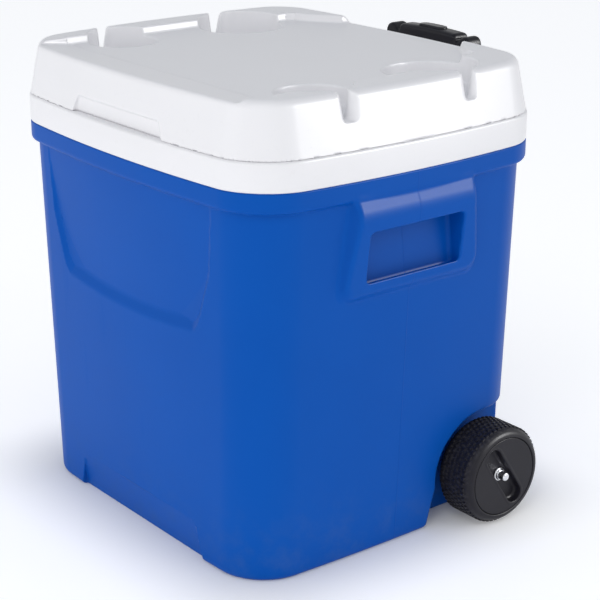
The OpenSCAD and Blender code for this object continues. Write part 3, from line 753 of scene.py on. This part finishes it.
# %% Lid underside
def plug_shape(x, y, z):
    plate = meet(np.maximum(lid_side(x, y, z, 7.5), lid_foot + 0.1 - z), z - lid_foot - 2.5, 0.5)
    plug = meet(tub_distance(x, y, z, -1.5), rim_top - 16 - z, 6)
    piece = join(plate, np.maximum(plug, z - lid_foot - 2.5), 2)
    return np.maximum(piece, -finger_recess(x, y, z, 5))


plug_low, plug_high = box_mm("lid_liner")
lid_liner = mould("lid_liner_moulded", plug_shape, plug_low, plug_high, 2.6, 90000)
fit(lid_liner, "lid", white_plastic, "lid_liner")

# %% [markdown]
# ## Turned pieces
# Wheels, tubes, bushes, washers and nuts are round, so each is a section turned about its axis.
# The section's corners are softened first: a real turned or moulded edge is never knife sharp,
# and the small rounding is what catches the light.


# %% Spin a section
def soften(corners, r, steps=4):
    """Round the corners of a closed section, less where an edge is short."""
    made = []
    for i, b in enumerate(np.array(corners, float)):
        a, c = np.array(corners[i - 1], float), np.array(corners[(i + 1) % len(corners)], float)
        if b[0] < 1e-6:
            made.append(b)
            continue
        before, after = a - b, c - b
        p, q = (b + side * min(r / np.linalg.norm(side), 0.45) for side in (before, after))
        made += [(1 - t) ** 2 * p + 2 * t * (1 - t) * b + t * t * q
                 for t in np.linspace(0, 1, steps)]
    return made


def spun(name, section, along, centre, steps=72, r=0.5):
    """Turn a closed section of (radius, height) corners about the X or the Z axis."""
    section = np.array(soften(section, r))
    turn = np.arange(steps) * 2 * np.pi / steps
    radius, height = section[:, 0][:, None], section[:, 1][:, None] + 0 * turn
    one, two = radius * np.cos(turn), radius * np.sin(turn)
    order = [height, one, two] if along == "x" else [one, two, height]
    points = np.stack(order, 2).reshape(-1, 3) + np.array(centre)
    count, faces = len(section), []
    for k in range(count):
        for i in range(steps):
            a, b = k * steps + i, k * steps + (i + 1) % steps
            c, d = (k + 1) % count * steps + (i + 1) % steps, (k + 1) % count * steps + i
            faces.append([a, b, c, d])
    made = finish_mesh(name, points, faces)
    clean(made.data, bmesh.ops.dissolve_degenerate, "edges", 1e-7)
    return made


def ring_section(inner, outer, low, high):
    return [(inner, low), (outer, low), (outer, high), (inner, high)]


# %% [markdown]
# ## Wheels
# Each wheel is hollow behind, with a web, a hub sleeve and a treaded rim. The lugs repeat, so a
# Geometry Nodes tree sets them out: it makes a point for each lug, turns its number into a row
# and an angle, stands a small tapered block on it and joins the blocks to the wheel. Every other
# row is shifted by half a step, and a seeded jitter keeps the lugs from looking machined.


# %% Tread tree
class Tree:
    """A Geometry Nodes tree with named inputs."""

    def __init__(self, name, inputs):
        self.tree = bpy.data.node_groups.new(name, "GeometryNodeTree")
        face = self.tree.interface
        face.new_socket("Geometry", in_out="OUTPUT", socket_type="NodeSocketGeometry")
        face.new_socket("Geometry", in_out="INPUT", socket_type="NodeSocketGeometry")
        for label, kind in inputs.items():
            face.new_socket(label, in_out="INPUT", socket_type="NodeSocket" + kind)
        self.given = self.tree.nodes.new("NodeGroupInput").outputs

    def node(self, kind, settings, values, out=0):
        return add_node(self.tree, kind, settings, values).outputs[out]

    def maths(self, kind, first, second=0.0):
        return self.node("ShaderNodeMath", {"operation": kind}, {0: first, 1: second})

    def close(self, geometry):
        """End in Realize Instances and Set Material."""
        plain = self.node("GeometryNodeRealizeInstances", {}, {0: geometry})
        coated = self.node("GeometryNodeSetMaterial", {},
                           {"Geometry": plain, "Material": self.given["Finish"]})
        self.tree.links.new(coated, self.tree.nodes.new("NodeGroupOutput").inputs[0])

    def apply(self, piece, **values):
        """Run the tree on a piece and keep the result as a plain mesh."""
        hold = piece.modifiers.new("nodes", "NODES")
        hold.node_group = self.tree
        named = {s.name: s.identifier for s in self.tree.interface.items_tree
                 if s.in_out == "INPUT"}
        for label, value in values.items():
            hold[named[label.replace("_", " ")]] = value
        keep_result(piece).set_sharp_from_angle(angle=math.radians(38))


tread = Tree("tread_lugs", {"Lug": "Object", "Around": "Int", "Rows": "Int", "Radius": "Float",
                            "Width": "Float", "Centre": "Vector", "Seed": "Int",
                            "Finish": "Material"})
given = tread.given
index = tread.node("GeometryNodeInputIndex", {}, {})
row = tread.maths("FLOOR", tread.maths("DIVIDE", index, given["Around"]))
half_step = tread.maths("MULTIPLY", tread.maths("MODULO", row, 2.0), 0.5)
turned = tread.maths("MULTIPLY", tread.maths("ADD", index, half_step), 2 * math.pi)
angle = tread.maths("DIVIDE", turned, given["Around"])
last_row = tread.maths("SUBTRACT", given["Rows"], 1.0)
share = tread.maths("SUBTRACT", tread.maths("DIVIDE", row, last_row), 0.5)
spot = tread.node("ShaderNodeCombineXYZ", {}, {
    0: tread.maths("MULTIPLY", share, given["Width"]),
    1: tread.maths("MULTIPLY", tread.maths("COSINE", angle), given["Radius"]),
    2: tread.maths("MULTIPLY", tread.maths("SINE", angle), given["Radius"])})
total = tread.maths("MULTIPLY", given["Around"], given["Rows"])
points = tread.node("GeometryNodePoints", {}, {"Count": total, "Position": spot})
block = tread.node("GeometryNodeObjectInfo", {}, {"Object": given["Lug"]}, "Geometry")
spin = tread.node("FunctionNodeAxisAngleToRotation", {}, {"Axis": (1, 0, 0), "Angle": angle})
jitter = tread.node("FunctionNodeRandomValue", {"data_type": "FLOAT"},
                    {2: 0.93, 3: 1.0, "Seed": given["Seed"]}, 1)
lugs = tread.node("GeometryNodeInstanceOnPoints", {},
                  {"Points": points, "Instance": block, "Rotation": spin, "Scale": jitter})
lugs = tread.node("GeometryNodeTransform", {},
                  {"Geometry": lugs, "Translation": given["Centre"]})
both = tread.tree.nodes.new("GeometryNodeJoinGeometry")
tread.tree.links.new(lugs, both.inputs[0])
tread.tree.links.new(given["Geometry"], both.inputs[0])
tread.close(both.outputs[0])
print("tread tree:", len(tread.tree.nodes), "nodes")


# %% Wheels and hub discs
def lug_block(name, long, wide, tall, root):
    """A tapered block standing on the tread, outwards along Y."""
    points, faces = [], []
    for height, grow in ((-root, 1.0), (tall * 0.65, 0.92), (tall, 0.62)):
        points += [(sx * long / 2 * grow, height, sz * wide / 2 * grow)
                   for sx, sz in ((-1, -1), (1, -1), (1, 1), (-1, 1))]
    for k in (0, 4):
        faces += [[k + i, k + (i + 1) % 4, k + 4 + (i + 1) % 4, k + 4 + i] for i in range(4)]
    return finish_mesh(name, points, faces + [[0, 1, 2, 3], [8, 9, 10, 11]], 30)


def wheel_section(inner_x, outer_x, tread_r, rim, sleeve_x):
    """Corners of the wheel's section: crowned tyre, web and hub sleeve."""
    web, bore, sleeve_r, sleeve_end = outer_x - 18, axle_r + 0.06, axle_r + 7, outer_x - 12
    turn = np.linspace(0, math.pi / 2, 6)
    crown_out = [(tread_r - 8 + 8 * math.sin(t), outer_x - 11 * (1 - math.cos(t))) for t in turn]
    crown_in = [(r, inner_x + outer_x - h) for r, h in crown_out[::-1]]
    return [(rim, outer_x - 0.6), (rim + 1.0, outer_x)] + crown_out + \
        [(tread_r + 0.4, (inner_x + outer_x) / 2)] + crown_in + \
        [(rim, inner_x), (rim, web), (sleeve_r, web), (sleeve_r, sleeve_x),
         (bore, sleeve_x), (bore, sleeve_end), (sleeve_r, sleeve_end),
         (sleeve_r, web + 5), (rim, web + 5)]


def disc_shape(x, y, z):
    """Face of the hub with its stadium dish, on the right wheel, about its own axle."""
    v, w = y - axle_y, z - axle_z
    lean = math.radians(90 + 33)
    along, aside = (v * math.cos(lean) + w * math.sin(lean),
                    -v * math.sin(lean) + w * math.cos(lean))
    stadium = np.hypot(np.maximum(np.abs(along) - 29, 0), aside)
    from_axle = np.hypot(v, w)
    face = wheel_high[0] - 0.4
    disc = meet(from_axle - disc_r, np.abs(x - face + 1.75) - 1.75, 0.7)
    back = meet(stadium - 12.5, np.abs(x - face + 5.55) - 5.55, 0.5)
    floor = wheel_high[0] - 9
    dish = meet(stadium - 9.3 - (x - floor) * 0.1, floor - x, 3)
    return carve(carve(join(disc, back, 1), dish, 1.3), from_axle - axle_r - 0.4, 0.3)


axle_low, axle_high = box_mm("axle")
axle_r = (axle_high[2] - axle_low[2]) / 2
lug = lug_block("lug", 4.6, 3.7, 1.2, 1.5)
wheel_wide, root_r = 50, wheel_r - 1.6
tyre_in = wheel_high[0] - wheel_wide
wheel_hub = [0, float(axle_y), float(axle_z)]
disc_low, disc_high = box_mm("hub_disc_right")
disc_r = (disc_high[2] - disc_low[2]) / 2
right_disc = mould("hub_disc_right_moulded", disc_shape, disc_low, disc_high, 0.85, 60000)
sides = (("right", 1), ("left", -1))
for side, mirrored in sides:
    section = [(r, mirrored * h) for r, h in wheel_section(
        tyre_in, wheel_high[0], root_r, disc_r + 0.5, wheel_low[0])]
    wheel = spun("wheel_" + side + "_treaded", section, "x", wheel_hub, 96, 0.9)
    middle = mirrored * (tyre_in + wheel_high[0]) / 2
    tread.apply(wheel, Lug=lug, Around=56, Rows=6, Radius=float((wheel_r - 1.5) * MM),
                Width=0.031, Centre=(middle * MM, axle_y * MM, axle_z * MM), Seed=7,
                Finish=black_wheel)
    fit(wheel, side + "_wheel", black_wheel, "wheel_" + side)
    disc = right_disc
    if side == "left":
        disc = mould("hub_disc_left_moulded", lambda x, y, z: disc_shape(-x, y, z),
                     *box_mm("hub_disc_left"), 0.85, 60000)
    fit(disc, side + "_wheel", black_wheel, "hub_disc_" + side)
    print(wheel.name, len(wheel.data.polygons), "faces")
bpy.data.objects.remove(lug)

# %% [markdown]
# ## Axle, washers and push nuts
# A plain zinc-plated bar runs right through. Its ends are chamfered, a washer keeps each wheel
# off the body and a domed push nut bites onto the bar inside the hub's dish.

# %% Axle
ends = [(0, axle_low[0]), (axle_r - 1, axle_low[0]), (axle_r, axle_low[0] + 1),
        (axle_r, axle_high[0] - 1), (axle_r - 1, axle_high[0]), (0, axle_high[0])]
axle = spun("axle_turned", ends, "x", wheel_hub, 48, 0.3)
fit(axle, "body", zinc_steel, "axle")
bore = axle_r + 0.02
for side, s in sides:
    low, high = box_mm("washer_" + side)
    washer = spun("washer_" + side + "_turned", ring_section(bore, 10, low[0], high[0]),
                  "x", wheel_hub, 48, 0.4)
    fit(washer, "body", zinc_steel, "washer_" + side)
    low, high = box_mm("push_nut_" + side)
    foot, tip = (low[0], high[0]) if s > 0 else (high[0], low[0])
    dome = [(bore, foot), (7.4, foot), (7.4, foot + s * 1.2), (6.0, foot + s * 1.4),
            (5.6, tip - s * 0.6), (5.1, tip), (bore, tip - s * 0.5)]
    nut = spun("push_nut_" + side + "_turned", dome, "x", wheel_hub, 48, 0.4)
    fit(nut, "body", zinc_steel, "push_nut_" + side)
print("axle", axle_low[0], axle_high[0])

# %% [markdown]
# ## Tow handle tubes
# Two outer tubes hang in brackets behind the body. A bush in the mouth of each guides the bright
# inner tube, a cap closes its foot, and a glide at the foot of the inner tube keeps it from
# rattling.

# %% Tubes, bushes, caps and glides
tube_low, tube_high = box_mm("outer_tube_right")
tube_x, tube_y = ((tube_low + tube_high) / 2)[:2]
outer_r = (tube_high[0] - tube_low[0]) / 2
fit_r = outer_r - 1.22
for side, s in sides:
    centre = (s * tube_x, tube_y, 0)
    turned_pieces = [
        ("outer_tube_", "body", tube_outer, 0.3,
         lambda a, b: ring_section(outer_r - 1.2, outer_r, a, b)),
        ("inner_tube_", "tow_handle", tube_inner, 0.3, lambda a, b: ring_section(6, 7, a, b)),
        ("tube_cap_", "body", black_fitting, 0.8,
         lambda a, b: [(0, a), (outer_r, a), (outer_r, a + 3), (fit_r, a + 3),
                       (fit_r, b), (0, b)]),
        ("guide_bush_", "body", black_fitting, 1.2,
         lambda a, b: [(7.06, a), (fit_r, a), (fit_r, b - 8),
                       (outer_r + 2.5, b - 8), (outer_r + 2.5, b - 1), (outer_r + 1.0, b),
                       (8, b), (7.06, b - 1)]),
        ("tube_glide_", "tow_handle", black_fitting, 0.4,
         lambda a, b: [(2.6, a), (outer_r - 1.26, a), (outer_r - 1.26, a + 3), (5.98, a + 3),
                       (5.98, b), (2.6, b)]),
    ]
    for start, body, finish, r, section in turned_pieces:
        low, high = box_mm(start + side)
        piece = spun(start + side + "_turned", section(low[2], high[2]), "z", centre, 48, r)
        fit(piece, body, finish, start + side)
print("tubes at", tube_x, tube_y)


# %% [markdown]
# ## Brackets
# Each bracket is a plate that follows the body's back wall, with an arm round each tube. It is
# moulded from distances like the body, so that its arms flow into the plate.

# %% Bracket shape
def bracket_shape(low, high):
    middle, half_z = (low[2] + high[2]) / 2, (high[2] - low[2]) / 2
    plate_y = collar_y + 1.25 - (neck_z - high[2]) * (neck_y - foot_y) / neck_z

    def shape(x, y, z):
        ax = np.abs(x)
        plate = meet(pane(x, z - middle, high[0], half_z, 6), y - plate_y, 1.5)
        arm = np.hypot(ax - tube_x, np.maximum(y - tube_y, 0)) - outer_r - 4.5
        arm = meet(arm, np.abs(z - middle) - half_z, 1.5)
        piece = join(plate, arm, 3)
        piece = carve(piece, np.hypot(ax - tube_x, y - tube_y) - outer_r - 0.1, 0.8)
        return np.maximum(piece, 0.3 - wall_distance(x, y, z))
    return shape, plate_y


plates = {}
for node in ("upper_bracket", "lower_bracket"):
    low, high = box_mm(node)
    shape, plates[node] = bracket_shape(low, high)
    piece = mould(node + "_moulded", shape, low, high, 1.5, 60000)
    fit(piece, "body", black_fitting, node)

# %% [markdown]
# ## Screws
# Pan-head screws with a cross recess hold the brackets and the grip. One head is moulded once,
# and a small Geometry Nodes tree stands it on every point that it is given, each turned by its
# own seeded angle, because nobody tightens screws to the same angle.


# %% Screw tree
def screw_head(name, head_r, head_h, shank_r, shank):
    """A pan head on a shank, its head upwards along Z."""
    def shape(x, y, z):
        rho = np.hypot(x, y)
        head = meet(rho - head_r, np.hypot(rho, z + 5.2 * head_h) - 6.2 * head_h, 0.5)
        head = np.maximum(head, -z)
        body = np.maximum(rho - shank_r, np.maximum(z - head_h / 2, -shank - z))
        cross = np.minimum(pane(x, y, head_r * 0.55, head_r * 0.13, 0.1),
                           pane(y, x, head_r * 0.55, head_r * 0.13, 0.1))
        cross = meet(cross, head_h * 0.35 - z, 0.1)
        return carve(join(head, body, 0.1), cross, 0.15)
    return mould(name, shape, (-head_r, -head_r, -shank), (head_r, head_r, head_h),
                 head_r / 14, 2600)


screws = Tree("screws_on_points", {"Screw": "Object", "Tilt": "Rotation", "Seed": "Int",
                                   "Finish": "Material"})
given = screws.given
own_turn = screws.node("FunctionNodeRandomValue", {"data_type": "FLOAT"},
                       {2: 0.0, 3: math.pi, "Seed": given["Seed"]}, 1)
twist = screws.node("FunctionNodeAxisAngleToRotation", {}, {"Axis": (0, 0, 1), "Angle": own_turn})
stand = screws.node("FunctionNodeRotateRotation", {"rotation_space": "LOCAL"},
                    {0: given["Tilt"], 1: twist})
block = screws.node("GeometryNodeObjectInfo", {}, {"Object": given["Screw"]}, "Geometry")
heads = screws.node("GeometryNodeInstanceOnPoints", {},
                    {"Points": given["Geometry"], "Instance": block, "Rotation": stand})
screws.close(heads)


def screw_set(node, body, spots, screw, tilt, seed):
    """All the screws of one CAD node, in one mesh."""
    mesh = bpy.data.meshes.new(node + "_set")
    mesh.from_pydata(np.array(spots) * MM, [], [])
    piece = new_object(node + "_set", mesh)
    screws.apply(piece, Screw=screw, Tilt=tilt, Seed=seed, Finish=zinc_steel)
    fit(piece, body, zinc_steel, node)
    bpy.data.objects.remove(screw)
    print(piece.name, len(piece.data.polygons), "faces")


under_head = 0.12
spots = [(x, plates[name] + under_head, (box_mm(name)[0][2] + box_mm(name)[1][2]) / 2)
         for name in plates for x in (-86, -32, 32, 86)]
screw_set("bracket_screws", "body", spots, screw_head("long_screw", 4.2, 2.4, 2, 15.5),
          (-math.pi / 2, 0, 0), 3)
grip_low, grip_high = box_mm("grip_lower")
screw_x, screw_y, sink = 44, 6.5, 3.5
spots = [(x, tube_y + y, grip_low[2] + sink - 0.05)
         for x in (-screw_x, screw_x) for y in (-screw_y, screw_y)]
screw_set("grip_screws", "tow_handle", spots, screw_head("short_screw", 2.3, 1.4, 1.25, 13),
          (math.pi, 0, 0), 5)


# %% [markdown]
# ## Grip and button
# The grip is a charcoal bar in two halves, arched in the middle with a knob over each tube, and
# an oval button set in its top. Both halves come from one distance shape cut at the split line,
# with a small rounding on each side of the cut so that the joint shows as a fine groove.

# %% Grip shape
grip_x, grip_y, grip_tall = 67, 11, 12.7
arch_x, knob_x, knob_r = 46, 59.5, 8
button_x, button_y = 20, 6.5
cap_high = box_mm("grip_upper")[1]
split_z = grip_high[2]


def grip_shape(x, y, z):
    ax = np.abs(x)
    base = pane(x, z - grip_low[2] - 7.5, grip_x, 7.5, 6)
    arch = meet(ax - arch_x, z - cap_high[2] + x * x / 850, 5)
    arch = np.maximum(arch, grip_low[2] + 2 - z)
    knob = np.hypot(ax - knob_x, z - cap_high[2] + 11.5) - knob_r
    front = join(join(base, arch, 2), knob, 3)
    section = pane(y - tube_y, z - grip_low[2] - grip_tall, grip_y, grip_tall, 7)
    grip = meet(front, section, 3.5)
    well = pane(x, y - tube_y, button_x + 0.3, button_y + 0.3, button_y + 0.3)
    return carve(grip, np.maximum(well, cap_high[2] - 6 - z), 0.6)


def lower_half(x, y, z):
    sunk = np.hypot(np.abs(x) - screw_x, np.abs(y - tube_y) - screw_y) - 2.4
    half = carve(grip_shape(x, y, z), np.maximum(sunk, z - grip_low[2] - sink), 0.3)
    return meet(half, z - split_z, 0.7)


grip_pieces = [("grip_lower", lower_half),
               ("grip_upper", lambda x, y, z: meet(grip_shape(x, y, z), split_z + 0.05 - z, 0.7))]
for node, shape in grip_pieces:
    fit(mould(node + "_moulded", shape, *box_mm(node), 0.85, 90000), "tow_handle",
        grip_plastic, node)

# %% Button and the hidden CAD pieces
button_high = box_mm("release_button")[1]


def button_shape(x, y, z):
    cap = meet(pane(x, y - tube_y, button_x, button_y, button_y),
               z - button_high[2] + x * x / 900, 1.2)
    return np.maximum(cap, button_high[2] - 7.6 - z)


button = mould("release_button_moulded", button_shape,
               (-button_x, tube_y - button_y, button_high[2] - 8),
               (button_x, tube_y + button_y, button_high[2]), 0.6, 30000)
fit(button, "button", button_plastic, "release_button")
for node, finish in (("latch_bar", zinc_steel), ("button_spring", zinc_steel),
                     ("foam_core", foam), ("lid_foam", foam)):
    cad_nodes[node].material_slots[0].material = finish

# %% [markdown]
# ## Floor
# The floor is a wide pale sheet with a little light of its own, as a back-lit sweep has, so that
# it stays near white and throws a soft bounce up onto the body. That glow is faded to near black
# under the body: a painted shadow that keeps the foot and the wheels dark.

# %% Floor
floor_mesh = bpy.data.meshes.new("floor")
floor_mesh.from_pydata([(-9, -9, 0), (9, -9, 0), (9, 9, 0), (-9, 9, 0)], [], [(0, 1, 2, 3)])
floor = new_object("floor", floor_mesh)
sweep = Paint("sweep", Roughness=0.9, Specular_IOR_Level=0.1, Base_Color=(0.86, 0.86, 0.865, 1),
              Emission_Strength=0.46)
out_x = (abs(sweep.axis("X")) - float(foot_x * MM)).ramp(-0.05, 0.11)
out_y = (abs(sweep.axis("Y")) - float(foot_y * MM)).ramp(-0.05, 0.11)
# painted shadow: the floor's glow fades to near black under the body's footprint
glow_with_painted_shadow = 1 - (1 - out_x) * (1 - out_y)
floor_mesh.materials.append(sweep.set(
    Emission_Color=sweep.mix(glow_with_painted_shadow, (0.02, 0.02, 0.022, 1), (1, 1, 1, 1))))
